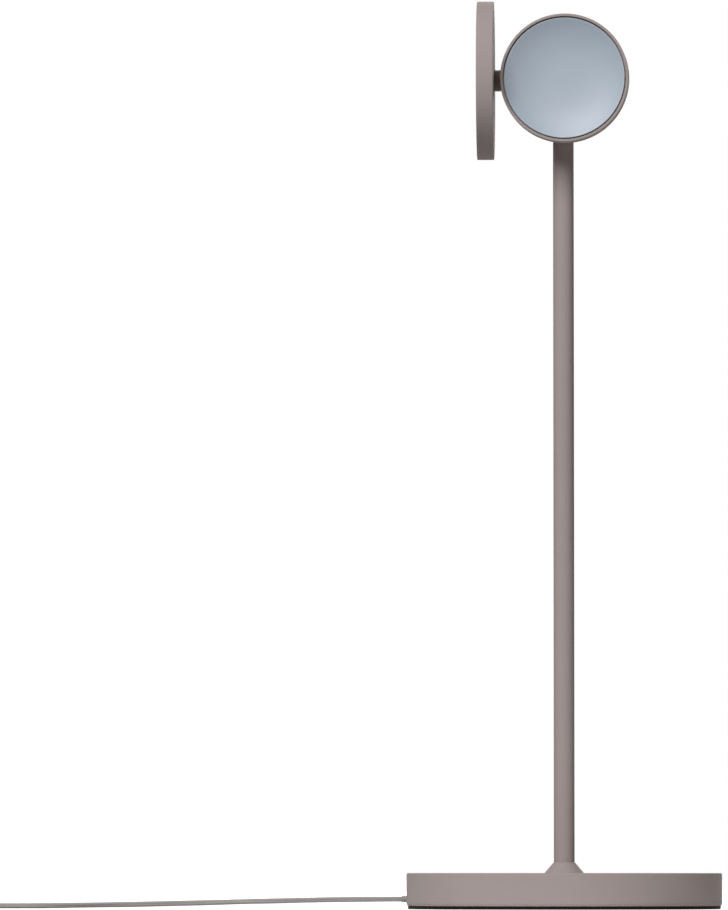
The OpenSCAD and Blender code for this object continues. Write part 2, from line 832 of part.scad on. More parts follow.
module lamp_led_board(d) {
    difference() {
        translate([0, 0, lamp_back]) cylinder(r = led_board_r(d), h = led_board_t);
        cylinder(d = led_board_hole, h = lamp_t);
        at_board_screws() cylinder(d = small_hole, h = lamp_t);
    }
}

module lamp_leds(count, r) {
    for (i = [0 : count - 1])
        rotate([0, 0, 360 * (i + 0.5) / count])
            translate([r - led_size[0] / 2, -led_size[1] / 2, board_front]) cube(led_size);
}

module lamp_board_screws() {
    at_board_screws()
        translate([0, 0, board_front]) small_screw(led_board_t + board_screw_depth - 0.1);
}

module lamp_retainer(d) {
    rd = diffuser_r(d);
    rotate_extrude() polygon([
        [rd - ledge_w, lamp_back], [d / 2 - lamp_wall - fit_gap, lamp_back],
        [d / 2 - lamp_wall - fit_gap, retainer_top], [rd + fit_gap, retainer_top],
        [rd + fit_gap, skirt_z], [rd - ledge_w, skirt_z]
    ]);
}

// How far a dish has risen at a share of its radius: flat in the middle, steeper towards the edge
function dish_rise(share) = dish_sag * pow(share, 3);

// The diffuser: a dish of even thickness on a skirt, which stands on the ring's ledge
module lamp_diffuser(d) {
    rd = diffuser_r(d);
    dish_r = rd - lip_w;
    skirt_r = rd - ledge_w;
    dish = [for (i = [0 : dish_steps])
        let (x = dish_r * i / dish_steps) [x, dish_z + dish_rise(x / dish_r)]];
    under = [for (i = [dish_steps : -1 : 0])
        let (x = skirt_r * i / dish_steps) [x, dish_under + dish_rise(x / dish_r)]];
    rotate_extrude() polygon(concat(
        dish, [[rd - 0.15, lip_top], [rd, lip_top - 0.15], [rd, skirt_z], [skirt_r, skirt_z]], under
    ));
}

// Large lamp

module large_place() {
    translate([-large_x, 0, head_z]) rotate([0, -90, 0]) children();
}

// The large lamp's two screws lie side by side across the tongue
module large_screws_place() {
    large_place() rotate([0, 0, 90]) screw_pair(large_screw_pitch) children();
}

module large_knuckle() {
    color(black)
        difference() {
            union() {
                translate([-large_x, 0, head_z]) rotate([0, 90, 0]) cylinder(d = arm_d, h = large_x - boss_end);
                at_pin() cylinder(r = tongue_r, h = tongue_t, center = true);
                translate([-boss_end - 0.5, -tongue_t / 2, head_z - tongue_r])
                    cube([boss_end + 0.5 - hinge_x, tongue_t, 2 * tongue_r]);
            }
            at_pin() cylinder(d = tongue_bore, h = tongue_t + 2 * cut, center = true);
            large_screws_place()
                translate([0, 0, -mount_screw_l]) cylinder(d = small_hole, h = mount_screw_l + cut);
        }
}

module large_housing() {
    color(taupe)
        difference() {
            large_place() lamp_housing(large_d);
            large_screws_place() translate([0, 0, -cut]) cylinder(d = small_hole, h = lamp_back + 2 * cut);
        }
}

module large_led_board() {
    color(white) large_place() lamp_led_board(large_d);
}

module large_leds() {
    color(opal) large_place() lamp_leds(large_leds_count, led_board_r(large_d) - large_led_inset);
}

module large_board_screws() {
    color(steel) large_place() lamp_board_screws();
}

module large_mount_screws() {
    color(steel) large_screws_place() translate([0, 0, lamp_back]) small_screw(lamp_back + mount_screw_l - 0.2);
}

module large_retainer() {
    color(umber) large_place() lamp_retainer(large_d);
}

module large_diffuser() {
    color(opal) large_place() lamp_diffuser(large_d);
}

// Small lamp

module small_place() {
    rotate([0, 0, -small_yaw])
        translate([small_shift, -small_back, head_z - small_drop]) rotate([90, 0, 0]) children();
}

module small_screws_place() {
    rotate([0, 0, -small_yaw])
        translate([0, -small_back, bracket_z]) rotate([90, 0, 0]) screw_pair(small_screw_pitch) children();
}

module small_bracket() {
    color(black)
        difference() {
            union() {
                translate([0, 0, sleeve_z]) cylinder(r = ring_r, h = ring_h);
                rotate([0, 0, -small_yaw])
                    translate([-bracket_w / 2, -small_back, bracket_z - bracket_h / 2])
                        cube([bracket_w, small_back, bracket_h]);
            }
            translate([0, 0, sleeve_z - cut]) cylinder(d = ring_bore, h = ring_h + 2 * cut);
            small_screws_place()
                translate([0, 0, -mount_screw_l]) cylinder(d = small_hole, h = mount_screw_l + cut);
        }
}

module small_housing() {
    color(taupe)
        difference() {
            small_place() lamp_housing(small_d);
            small_screws_place() translate([0, 0, -cut]) cylinder(d = small_hole, h = lamp_back + 2 * cut);
        }
}

module small_led_board() {
    color(white)
        difference() {
            small_place() lamp_led_board(small_d);
            small_screws_place() cylinder(d = small_head_d + 0.8, h = lamp_t);
        }
}

module small_leds() {
    color(opal) small_place() lamp_leds(small_leds_count, led_board_r(small_d) - small_led_inset);
}

module small_board_screws() {
    color(steel) small_place() lamp_board_screws();
}

module small_mount_screws() {
    color(steel) small_screws_place() translate([0, 0, lamp_back]) small_screw(lamp_back + mount_screw_l - 0.2);
}

module small_retainer() {
    color(umber) small_place() lamp_retainer(small_d);
}

module small_diffuser() {
    color(opal) small_place() lamp_diffuser(small_d);
}

// Cord, coil and adapter

module cord_run() {
    color(cord_grey) tube(smooth(run_points), cord_r, run_sides);
}

module cord_coil() {
    color(cord_grey) tube(coil_line, cord_r, coil_sides);
}

// A tie is a flat strap round the coil's bundle
module coil_ties() {
    h = tie_top - tie_t;
    color(rubber)
        for (a = tie_angles) {
            tie_out = coil_reach(a) + cord_r + tie_gap;
            w = tie_out - tie_in;
            translate([coil_x, coil_y, 0]) rotate([0, 0, a])
                translate([(tie_in + tie_out) / 2, tie_w / 2, tie_t + h / 2])
                    rotate([90, 0, 0]) linear_extrude(tie_w) difference() {
                        round_rect(w + 2 * tie_t, h + 2 * tie_t, 1.5);
                        round_rect(w, h, 0.9);
                    }
        }
}

module adapter_outline(inset) {
    translate([adapter_x, adapter_y + adapter_l / 2])
        round_rect(adapter_w - 2 * inset, adapter_l - 2 * inset, adapter_round - inset);
}

module adapter_case() {
    color(black)
        difference() {
            linear_extrude(lid_z) adapter_outline(0);
            translate([0, 0, adapter_wall]) linear_extrude(adapter_h) adapter_outline(adapter_wall);
            translate([adapter_x, adapter_y - cut, coil_top_z])
                rotate([-90, 0, 0]) cylinder(d = relief_hole, h = adapter_wall + 2 * cut);
        }
}

module adapter_lid() {
    color(black)
        difference() {
            translate([0, 0, lid_z]) linear_extrude(lid_t) adapter_outline(0);
            for (x = [-1, 1])
                translate([adapter_x + x * blade_pitch / 2, adapter_y + adapter_l / 2, lid_z - cut])
                    linear_extrude(lid_t + 2 * cut)
                        square([blade_size[1] + 2 * fit_gap, blade_size[0] + 2 * fit_gap], center = true);
        }
}

module adapter_blades() {
    color(steel)
        for (x = [-1, 1])
            translate([adapter_x + x * blade_pitch / 2, adapter_y + adapter_l / 2, lid_z - 2])
                linear_extrude(lid_t + 2 + blade_size[2])
                    square([blade_size[1], blade_size[0]], center = true);
}

module adapter_relief() {
    color(black)
        translate([adapter_x, relief_y, coil_top_z]) rotate([-90, 0, 0]) difference() {
            union() {
                cylinder(d1 = cord_d + 1.4, d2 = relief_hole + 1.4, h = relief_l);
                cylinder(d = relief_hole - 2 * fit_gap, h = relief_l + adapter_wall + 1.5);
            }
            translate([0, 0, -cut])
                cylinder(d = cord_d + 2 * fit_gap, h = relief_l + adapter_wall + 2 * cut + 1.5);
        }
}

module adapter_board() {
    color(green)
        translate([adapter_x, adapter_y + adapter_l / 2, adapter_wall]) {
            linear_extrude(1.6) square([adapter_w - 10, adapter_l - 10], center = true);
            translate([0, 6, 1]) linear_extrude(13) square([16, 14], center = true);
            translate([-4, -11, 1]) cylinder(d = 8, h = 12);
            translate([6, -11, 1]) linear_extrude(6) square([8, 5], center = true);
        }
}

foot_pad();
bottom_plate();
bottom_screws();
base_cover();
base_weight();
driver_board();
board_parts();
board_screws();
touch_pad();
touch_ring();
touch_contact();
cord_grommet();
cord_clamp();
clamp_screws();
inner_lead();
pole_cone();
pole();
pole_nipple();
pole_washer();
pole_nut();
pole_wire();
pole_spindle();
friction_washer();
spindle_nut();
cord_run();
cord_coil();
coil_ties();
adapter_case();
adapter_lid();
adapter_blades();
adapter_relief();
adapter_board();
head_hub();
hub_cap();
arm_wire();
hinge_pin();
hinge_washers();
large_knuckle();
large_housing();
large_led_board();
large_leds();
large_board_screws();
large_mount_screws();
large_retainer();
large_diffuser();
small_bracket();
small_housing();
small_led_board();
small_leds();
small_board_screws();
small_mount_screws();
small_retainer();
small_diffuser();
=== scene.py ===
"""Looks of a desk lamp: two round LED lamps on a slim pole, which stands on a round weighted base.

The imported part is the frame. Metres, +Z up, -Y towards the user. Sizes are in millimetres times MM.
"""

import math

import bmesh
import bpy
from mathutils import Matrix, Vector


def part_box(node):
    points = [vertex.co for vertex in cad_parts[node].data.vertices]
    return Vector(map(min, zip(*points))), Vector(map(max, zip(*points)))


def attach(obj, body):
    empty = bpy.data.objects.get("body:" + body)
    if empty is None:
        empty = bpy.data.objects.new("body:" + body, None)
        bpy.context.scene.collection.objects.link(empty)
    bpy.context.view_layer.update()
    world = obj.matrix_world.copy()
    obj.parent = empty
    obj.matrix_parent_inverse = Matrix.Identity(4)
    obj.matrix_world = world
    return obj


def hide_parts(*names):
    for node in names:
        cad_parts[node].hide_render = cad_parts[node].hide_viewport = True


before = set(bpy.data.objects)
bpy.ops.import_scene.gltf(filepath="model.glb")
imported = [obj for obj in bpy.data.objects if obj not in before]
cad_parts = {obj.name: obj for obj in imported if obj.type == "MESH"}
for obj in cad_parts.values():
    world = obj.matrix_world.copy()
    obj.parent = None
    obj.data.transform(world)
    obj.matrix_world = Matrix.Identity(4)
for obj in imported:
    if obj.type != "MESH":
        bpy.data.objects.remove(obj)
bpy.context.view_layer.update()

MM = 0.001
HERE = Matrix.Identity(4)
SHARP = math.radians(35)


def turned(degrees, axis):
    return Matrix.Rotation(math.radians(degrees), 4, axis)


def moved(x, y, z):
    return Matrix.Translation((x * MM, y * MM, z * MM))


def top_of(node):
    """Height of a CAD node's top in millimetres."""
    return round(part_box(node)[1][2] / MM, 2)


# Heights that the pieces share, in millimetres
FOOT_TOP = top_of("foot_pad")
BASE_TOP = top_of("base_cover")
CONE_TOP = top_of("pole_cone")
POLE_TOP = top_of("pole")
HUB_TOP = top_of("head_hub")
HEAD_Z = HUB_TOP - 7.4
EXIT_Z = 4.9

# Radii that the pieces share, in millimetres
BASE_R = 77.5
POLE_R = 5.1
CONE_R = 9.7
BORE_R = 4.05
TOUCH_R = 7.5
TOUCH_Y = -46
SCREW_CIRCLE = 60
LARGE_R = 39.1
SMALL_R = 31.6

# Heights in a lamp, above its back
PAN_FLOOR = 1.2
PAN_RIM = 8.3
RING_TOP = 6.8
DISH_SEAT = 3.9
DISH_MIDDLE = 3.7
DISH_SAG = 4
DISH_WALL = 0.8

# Where each lamp's own axis stands: its back is on z = 0 and its front looks along +Z
LARGE_LAMP = moved(-34.2, 0, HEAD_Z) @ turned(-90, "Y")
SMALL_LAMP = turned(-2.5, "Z") @ moved(1.9, -19, HEAD_Z - 1.2) @ turned(90, "X")
TOUCH_SPOT = moved(0, TOUCH_Y, BASE_TOP)
CORD_EXIT = moved(-BASE_R, 0, EXIT_Z) @ turned(-90, "Y")


# Camera

SENSOR = 36
FRAME_PIXELS = 910
FOCAL_PIXELS = 8000


def aim_camera():
    """At the photograph's place: 3.9 m away, at the height of the base's top, looking a little up."""
    lens = bpy.data.cameras.new("camera")
    lens.sensor_width = SENSOR
    lens.lens = FOCAL_PIXELS * SENSOR / FRAME_PIXELS
    camera = bpy.data.objects.new("camera", lens)
    camera.location = (0.029554, -3.937889, BASE_TOP * MM)
    towards = Vector((-0.03244972, 0.99811041, 0.05217882))
    camera.rotation_euler = towards.to_track_quat("-Z", "Y").to_euler()
    bpy.context.scene.collection.objects.link(camera)
    bpy.context.scene.camera = camera


# Finishes

# To the camera, in gloss and through glass
WHITE_RAYS = ("Is Camera Ray", "Is Glossy Ray", "Is Transmission Ray")


def tone(red, green, blue):
    """A colour as seen on a screen, 0 to 255, as the shader's linear one."""
    parts = [c / 255 for c in (red, green, blue)]
    return tuple(c / 12.92 if c < 0.04045 else ((c + 0.055) / 1.055) ** 2.4 for c in parts) + (1.0,)


class Flow:
    """A socket whose value flows on. Python's operators on it add the Math nodes."""

    def __init__(self, finish, socket):
        self.finish = finish
        self.socket = socket

    def maths(self, operation, *values):
        return self.finish.node("Math", {"operation": operation}, dict(enumerate(values)))

    def __add__(self, other):
        return self.maths("ADD", self, other)

    def __sub__(self, other):
        return self.maths("SUBTRACT", self, other)

    def __rsub__(self, other):
        return self.maths("SUBTRACT", other, self)

    def __mul__(self, other):
        return self.maths("MULTIPLY", self, other)

    def __pow__(self, other):
        return self.maths("POWER", self, other)

    def __gt__(self, other):
        return self.maths("GREATER_THAN", self, other)

    __radd__ = __add__
    __rmul__ = __mul__


class Finish:
    """A material: one Principled shader, with what feeds it."""

    def __init__(self, name, **sockets):
        self.material = bpy.data.materials.new(name)
        self.material.use_nodes = True
        self.nodes = self.material.node_tree.nodes
        self.links = self.material.node_tree.links
        self.shader = self.nodes["Principled BSDF"]
        self.place = self.node("TexCoord", out="Object")
        self.set(**sockets)

    def feed(self, socket, value):
        if isinstance(value, Flow):
            self.links.new(value.socket, socket)
        else:
            socket.default_value = value

    def node(self, kind, settings=None, values=None, out=0):
        """A node by its type, with its settings and the values or links of its sockets."""
        made = self.nodes.new("ShaderNode" + kind)
        for name, value in (settings or {}).items():
            setattr(made, name, value)
        for name, value in (values or {}).items():
            self.feed(made.inputs[name], value)
        return Flow(self, made.outputs[out])

    def set(self, **sockets):
        """Sets the shader's sockets: Base_Color is its Base Color."""
        for name, value in sockets.items():
            self.feed(self.shader.inputs[name.replace("_", " ")], value)

    def noise(self, size, detail=2.0, place=None):
        """Soft cloudy values round a half, with forms of that size in millimetres."""
        return self.node("TexNoise", {"noise_dimensions": "3D"},
                         {"Vector": place or self.place, "Scale": 1 / (size * MM), "Detail": detail})

    def blend(self, share, a, b):
        """Colour a, going over to b as share goes from 0 to 1."""
        return self.node("Mix", {"data_type": "RGBA"}, {0: share, 6: a, 7: b}, out=2)

    def bump(self, height, depth, strength=1.0):
        """Gives the shader's normal a relief of that depth in millimetres."""
        relief = {"Height": height, "Distance": depth * MM, "Strength": strength}
        self.set(Normal=self.node("Bump", None, relief))

    def white_rays(self):
        """1 for the rays to which the surroundings look white."""
        return sum(self.node("LightPath", out=kind) for kind in WHITE_RAYS)

    def moved_place(self, x, y, z, stretch=(1, 1, 1)):
        """Object coordinates from a point in millimetres, stretched along the axes."""
        spot = tuple(-c * MM * s for c, s in zip((x, y, z), stretch))
        return self.node("Mapping", None, {"Vector": self.place, "Location": spot, "Scale": stretch})

    def rings(self, x, y, z, stretch=(1, 1, 1)):
        """Distance in metres from a point in millimetres."""
        spot = self.moved_place(x, y, z, stretch)
        return self.node("VectorMath", {"operation": "LENGTH"}, {0: spot}, out="Value")


def painted_taupe():
    """Matt powder coat: slow drift of tone, fine orange peel."""
    finish = Finish("taupe_paint")
    drift = finish.noise(34, 2)
    peel = finish.noise(0.55, 3)
    dust = finish.noise(0.16, 1)
    body = finish.blend(drift, tone(160, 149, 147), tone(168, 156, 154))
    finish.set(
        Base_Color=finish.blend((dust > 0.62) * 0.12, body, tone(128, 118, 116)),
        Roughness=0.72 + peel * 0.1,
        Specular_IOR_Level=0.15,
    )
    finish.bump(peel, 0.02, 0.5)
    return finish.material


def moulded_plastic(name, dark, light, grain=0.35, rough=0.42, depth=0.03):
    """Moulded plastic with a fine spark-eroded grain."""
    finish = Finish(name)
    grains = finish.noise(grain, 2)
    haze = finish.noise(12, 2)
    finish.set(
        Base_Color=finish.blend(haze * 0.6 + grains * 0.4, dark, light),
        Roughness=rough + grains * 0.12,
        Specular_IOR_Level=0.4,
    )
    finish.bump(grains, depth, 0.6)
    return finish.material


def foot_rubber():
    """Soft black sole rubber with fine rings and a little dust."""
    finish = Finish("foot_rubber", Specular_IOR_Level=0.15)
    dust = finish.noise(3, 4)
    rings = finish.rings(0, 0, 0, (1, 1, 0))
    groove = finish.node("Math", {"operation": "PINGPONG"}, {0: rings, 1: 0.0012})
    finish.set(
        Base_Color=finish.blend(dust, tone(12, 11, 10), tone(24, 22, 21)),
        Roughness=0.8 + dust * 0.12,
    )
    finish.bump(groove * 600 + finish.noise(0.3) * 0.4, 0.12, 0.5)
    return finish.material


def opal_diffuser():
    """Satin opal plastic, cool white, nearly without grain, which shades more steeply at the dish's edge."""
    finish = Finish("opal", Specular_IOR_Level=1.0, IOR=1.6)
    cloud = finish.noise(22, 1)
    frost = finish.noise(0.22, 2)
    rim = finish.node("Attribute", {"attribute_name": "from_middle"}, out="Fac") ** 3
    finish.set(
        Base_Color=finish.blend(cloud, tone(143, 155, 169), tone(150, 162, 174)),
        Roughness=0.52 + frost * 0.1,
    )
    finish.bump(rim + frost * 0.004, 0.8)
    return finish.material


def turned_metal(name, dark, light, rough):
    """Machined metal with faint tool marks."""
    finish = Finish(name, Metallic=1.0)
    marks = finish.noise(0.25, 3, finish.moved_place(0, 0, 0, (1, 1, 6)))
    cloud = finish.noise(6, 2)
    finish.set(Base_Color=finish.blend(cloud, dark, light), Roughness=rough + marks * 0.12)
    finish.bump(marks, 0.006, 0.4)
    return finish.material


def brushed_touch():
    """The touch pad's steel, brushed in circles round its own middle."""
    finish = Finish("touch_steel", Metallic=1.0)
    from_middle = finish.rings(0, TOUCH_Y, 0, (1, 1, 0))
    lines = {"W": from_middle * 9000, "Scale": 1.0, "Detail": 4.0}
    brush = finish.node("TexNoise", {"noise_dimensions": "1D"}, lines)
    cloud = finish.noise(5, 2)
    finish.set(
        Base_Color=finish.blend(cloud, tone(176, 172, 168), tone(196, 192, 188)),
        Roughness=0.24 + brush * 0.22,
    )
    finish.bump(brush, 0.01, 0.5)
    return finish.material


def cast_iron():
    """Cast ballast: dark, rough, with rust blooms."""
    finish = Finish("cast_iron", Metallic=0.4)
    pits = finish.noise(0.9, 5)
    bloom = finish.noise(9, 4)
    finish.set(
        Base_Color=finish.blend((bloom - 0.5) * 2, tone(62, 60, 60), tone(96, 74, 60)),
        Roughness=0.62 + pits * 0.25,
    )
    finish.bump(pits, 0.2, 0.6)
    return finish.material


def circuit_board(name, mask, copper):
    """Solder mask over a mesh of copper tracks."""
    finish = Finish(name, Specular_IOR_Level=0.5)
    mesh = {"Vector": finish.place, "Scale": 260.0, "Mortar Size": 0.03}
    tracks = finish.node("TexBrick", {"offset": 0.5}, mesh, out="Fac")
    haze = finish.noise(4, 2)
    finish.set(
        Base_Color=finish.blend(tracks * 0.5 + haze * 0.2, mask, copper),
        Roughness=0.3 + haze * 0.15,
    )
    finish.bump(tracks, 0.03, 0.5)
    return finish.material


def led_chip():
    """LEDs with their yellow phosphor in the middle of a white body."""
    finish = Finish("led")
    speck = finish.noise(0.2, 2)
    finish.set(
        Base_Color=finish.blend(speck, tone(226, 204, 110), tone(240, 222, 140)),
        Roughness=0.35 + speck * 0.2,
    )
    finish.bump(speck, 0.02, 0.4)
    return finish.material


def soft_flex(name, dark, light, rough):
    """Flexible cord or wire jacket: even, satin, with the extruder's faint drift."""
    finish = Finish(name, Specular_IOR_Level=0.35)
    drift = finish.noise(7, 2)
    skin = finish.noise(0.18, 2)
    finish.set(
        Base_Color=finish.blend(drift * 0.7 + skin * 0.3, dark, light),
        Roughness=rough + skin * 0.1,
    )
    finish.bump(skin, 0.01, 0.5)
    return finish.material


def woven_tie():
    """Ties of black hook tape: rows of tiny loops."""
    finish = Finish("tie", Specular_IOR_Level=0.25)
    weave = {"Vector": finish.place, "Scale": 1 / (0.45 * MM)}
    loops = finish.node("TexVoronoi", {"feature": "F1"}, weave, out="Distance")
    finish.set(
        Base_Color=finish.blend(loops, tone(44, 42, 41), tone(20, 19, 19)),
        Roughness=0.8 + loops * 0.1,
    )
    finish.bump(1 - loops, 0.12, 0.7)
    return finish.material


FINISH = {
    "taupe_paint": painted_taupe(),
    "black_plastic": moulded_plastic("black_plastic", tone(104, 92, 85), tone(116, 103, 95)),
    "foot_rubber": foot_rubber(),
    # Groove ring: dark taupe, darker than the paint partly as painted shade of the narrow groove it fills
    "ring_umber": moulded_plastic("ring_umber", tone(128, 120, 114), tone(138, 129, 123), rough=0.5),
    "opal": opal_diffuser(),
    "steel": turned_metal("steel", tone(168, 168, 168), tone(192, 192, 192), 0.3),
    "touch_steel": brushed_touch(),
    "cast_iron": cast_iron(),
    "brass": turned_metal("brass", tone(186, 158, 96), tone(206, 180, 116), 0.28),
    "board_green": circuit_board("board_green", tone(24, 82, 50), tone(52, 120, 74)),
    "board_white": circuit_board("board_white", tone(226, 227, 222), tone(206, 208, 204)),
    "led": led_chip(),
    "chip_black": moulded_plastic("chip_black", tone(30, 30, 32), tone(44, 44, 46), rough=0.5),
    "cord_grey": soft_flex("cord_grey", tone(146, 141, 140), tone(156, 151, 150), 0.45),
    "wire_white": soft_flex("wire_white", tone(220, 219, 214), tone(232, 231, 228), 0.4),
    "grommet": moulded_plastic("grommet", tone(138, 131, 129), tone(150, 143, 141), rough=0.5),
    "adapter_black": moulded_plastic("adapter_black", tone(32, 31, 31), tone(44, 43, 42),
                                     grain=0.6, depth=0.06),
    "tie": woven_tie(),
}


# Shapes

def piece(name, bm, finish, body, *nodes, place=HERE):
    """Makes an object of a bmesh, with its finish and its body, and hides the CAD nodes that it stands for.
    """
    bmesh.ops.transform(bm, matrix=place, verts=bm.verts)
    for face in bm.faces:
        face.smooth = True
    for edge in bm.edges:
        edge.smooth = edge.calc_face_angle(0) < SHARP
    mesh = bpy.data.meshes.new(name)
    bm.to_mesh(mesh)
    bm.free()
    made = bpy.data.objects.new(name, mesh)
    bpy.context.scene.collection.objects.link(made)
    mesh.materials.append(FINISH[finish])
    even = made.modifiers.new("even_shading", "WEIGHTED_NORMAL")
    even.keep_sharp = True
    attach(made, body)
    if nodes:
        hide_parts(*nodes)
    return made


def round_corners(bm, corners, outline):
    """Rounds the corners of a wire outline whose third number says so."""
    for corner, point in zip(corners, outline):
        if len(point) > 2:
            bmesh.ops.bevel(bm, geom=[corner], offset=point[2] * MM, offset_type="OFFSET", segments=4,
                            profile=0.5, affect="VERTICES", material=-1, clamp_overlap=True)


def spun(outline, ring=False, sides=96):
    """Spins an outline of (radius, height, rounding) round its axis. A ring's outline closes on itself."""
    bm = bmesh.new()
    corners = [bm.verts.new((p[0] * MM, 0, p[1] * MM)) for p in outline]
    following = corners[1:] + corners[:1] if ring else corners[1:]
    for pair in zip(corners, following):
        bm.edges.new(pair)
    round_corners(bm, corners, outline)
    bmesh.ops.spin(bm, geom=bm.verts[:] + bm.edges[:], axis=(0, 0, 1), cent=(0, 0, 0),
                   angle=math.tau, steps=sides, use_merge=True)
    bmesh.ops.remove_doubles(bm, verts=bm.verts, dist=1e-6)
    bmesh.ops.recalc_face_normals(bm, faces=bm.faces)
    return bm


def softened(node, width):
    """A copy of a CAD node, its loose triangles joined and its sharp edges rounded to that width."""
    bm = bmesh.new()
    bm.from_mesh(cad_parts[node].data)
    bmesh.ops.remove_doubles(bm, verts=bm.verts, dist=2e-6)
    bmesh.ops.dissolve_limit(bm, angle_limit=math.radians(1), verts=bm.verts, edges=bm.edges)
    sharp = [e for e in bm.edges if e.is_manifold and e.calc_face_angle() > math.radians(32)]
    bmesh.ops.bevel(bm, geom=sharp, offset=width * MM, offset_type="OFFSET", segments=3,
                    profile=0.5, affect="EDGES", material=-1, clamp_overlap=True)
    return bm


def rod(bm, radius, low, high, place=HERE, sides=48):
    """Adds a closed cylinder from low to high along the place's own z."""
    seat = place @ moved(0, 0, (low + high) / 2)
    bmesh.ops.create_cone(bm, cap_ends=True, segments=sides, radius1=radius * MM, radius2=radius * MM,
                          depth=(high - low) * MM, matrix=seat)


def block(bm, size, place=HERE):
    """Adds a box of that size in millimetres round the place's origin."""
    bmesh.ops.create_cube(bm, size=1, matrix=place @ Matrix.Diagonal([s * MM for s in size] + [1]))


def carved(bm, cutter):
    """Takes one bmesh's solids away from another's and gives what is left."""
    parts = []
    for shape in (bm, cutter):
        mesh = bpy.data.meshes.new("carving")
        shape.to_mesh(mesh)
        shape.free()
        parts.append(bpy.data.objects.new("carving", mesh))
        bpy.context.scene.collection.objects.link(parts[-1])
    body, tool = parts
    cut = body.modifiers.new("cut", "BOOLEAN")
    cut.operation = "DIFFERENCE"
    cut.solver = "EXACT"
    cut.object = tool
    left = bpy.data.meshes.new_from_object(body.evaluated_get(bpy.context.evaluated_depsgraph_get()))
    result = bmesh.new()
    result.from_mesh(left)
    for part in parts:
        mesh = part.data
        bpy.data.objects.remove(part)
        bpy.data.meshes.remove(mesh)
    bpy.data.meshes.remove(left)
    bmesh.ops.remove_doubles(result, verts=result.verts, dist=1e-6)
    return result


# Cord: the part's own route, from the cover's wall to the coil and its plug-in adapter

CORD_RUN = [
    (-BASE_R, 0, EXIT_Z), (-86, 0, 4.9), (-95, 0, 4.8), (-108, 0, 4.7), (-121, 0, 4.5),
    (-134, 0, 4.2), (-147, 0, 3.9), (-160, 0, 3.6), (-173, 0, 3.2), (-186, 0, 2.9),
    (-199, 0, 2.6), (-212, 0, 2.3), (-225, 0, 2.1), (-238, 0, 1.9), (-251, 0, 1.7),
    (-264, 0, 1.6), (-277, 0, 1.6), (-288, 0, 1.75), (-297, 0, 1.95), (-303, 0, 1.95),
]
CORD_HOLE_R = 1.37
LOBE_R = 0.84
LOBE_OUT = 0.46
COIL_MIDDLE = (-306, 21.8)
COIL_LOW = 1.95
COIL_PITCH = 3.1
COIL_INNER = 9.4
COIL_TURNS = 4
COIL_LAYERS = 4
COIL_END = COIL_TURNS * COIL_LAYERS + 0.25
COIL_STEPS = 24
TAIL_STEP = 5.5
ADAPTER_X = -328.575


def smooth_line(points):
    """The points of a smooth curve through the given ones, with two steps to each stretch."""
    line = []
    for i in range(len(points) - 1):
        a, b, c, d = (Vector(points[min(max(k, 0), len(points) - 1)]) for k in range(i - 1, i + 3))
        for t in (0, 0.5):
            line.append(b + t / 2 * (c - a) + t * t / 2 * (2 * a - 5 * b + 4 * c - d)
                        + t ** 3 / 2 * (3 * b - a - 3 * c + d))
    return line + [Vector(points[-1])]


def coil_spot(turn):
    """Where the cord is after so many turns: it winds out and in, and climbs between."""
    whole = COIL_TURNS * COIL_LAYERS
    if turn > whole:
        radius = COIL_INNER + COIL_PITCH * (COIL_TURNS + turn - whole)
    else:
        radius = COIL_INNER + COIL_PITCH * abs(turn % (2 * COIL_TURNS) - COIL_TURNS)
    climbed = 0
    for layer in range(1, COIL_LAYERS):
        share = min(max(2 * (turn - layer * COIL_TURNS) + 0.5, 0), 1)
        climbed += (1 - math.cos(math.pi * share)) / 2
    angle = math.tau * turn
    x, y = COIL_MIDDLE
    height = COIL_LOW + COIL_PITCH * climbed
    return Vector((x - radius * math.sin(angle), y - radius * math.cos(angle), height))


def cord_line():
    """The whole route in metres."""
    line = smooth_line(CORD_RUN)
    line += [coil_spot(step / COIL_STEPS) for step in range(round(COIL_END * COIL_STEPS) + 1)]
    last = line[-1]
    line += [last + Vector((0, TAIL_STEP * k, 0)) for k in range(1, 7)]
    return [p * MM for p in line]


def swept(line, outline, roll):
    """Draws an outline along a line of points; roll gives its turn in radians at each distance."""
    seats, gone = [], 0
    for i, point in enumerate(line):
        ahead = (line[min(i + 1, len(line) - 1)] - line[max(i - 1, 0)]).normalized()
        across = ahead.cross(Vector((0, 0, 1))).normalized()
        if i:
            gone += (point - line[i - 1]).length
        seat = Matrix((across, across.cross(ahead), ahead)).transposed().to_4x4()
        seats.append(Matrix.Translation(point) @ seat @ Matrix.Rotation(roll(gone), 4, "Z"))
    bm = bmesh.new()
    ring = [bm.verts.new(seats[0] @ Vector((x * MM, y * MM, 0))) for x, y in outline]
    edges = [bm.edges.new(pair) for pair in zip(ring, ring[1:] + ring[:1])]
    bm.faces.new(ring)
    for before, after in zip(seats, seats[1:]):
        grown = bmesh.ops.extrude_edge_only(bm, edges=edges)["geom"]
        ring = [g for g in grown if isinstance(g, bmesh.types.BMVert)]
        edges = [g for g in grown if isinstance(g, bmesh.types.BMEdge) and all(v in ring for v in g.verts)]
        bmesh.ops.transform(bm, matrix=after @ before.inverted(), verts=ring)
    bmesh.ops.holes_fill(bm, edges=edges, sides=0)
    bmesh.ops.recalc_face_normals(bm, faces=bm.faces)
    return bm


def twin_outline():
    """Two round lobes one above the other, which meet in a groove on each side."""
    meet = math.acos(LOBE_OUT / LOBE_R)
    outline = []
    for side in (1, -1):
        for k in range(8):
            angle = -(math.pi - meet) + 2 * (math.pi - meet) * k / 8
            outline.append((side * LOBE_R * math.sin(angle), side * (LOBE_OUT + LOBE_R * math.cos(angle))))
    return outline


def wander(gone):
    """How far the flat cord has turned about its own line, in radians, at a distance in metres."""
    return 0.3 * math.sin(gone / 0.019) + 0.2 * math.sin(gone / 0.0083 + 1)


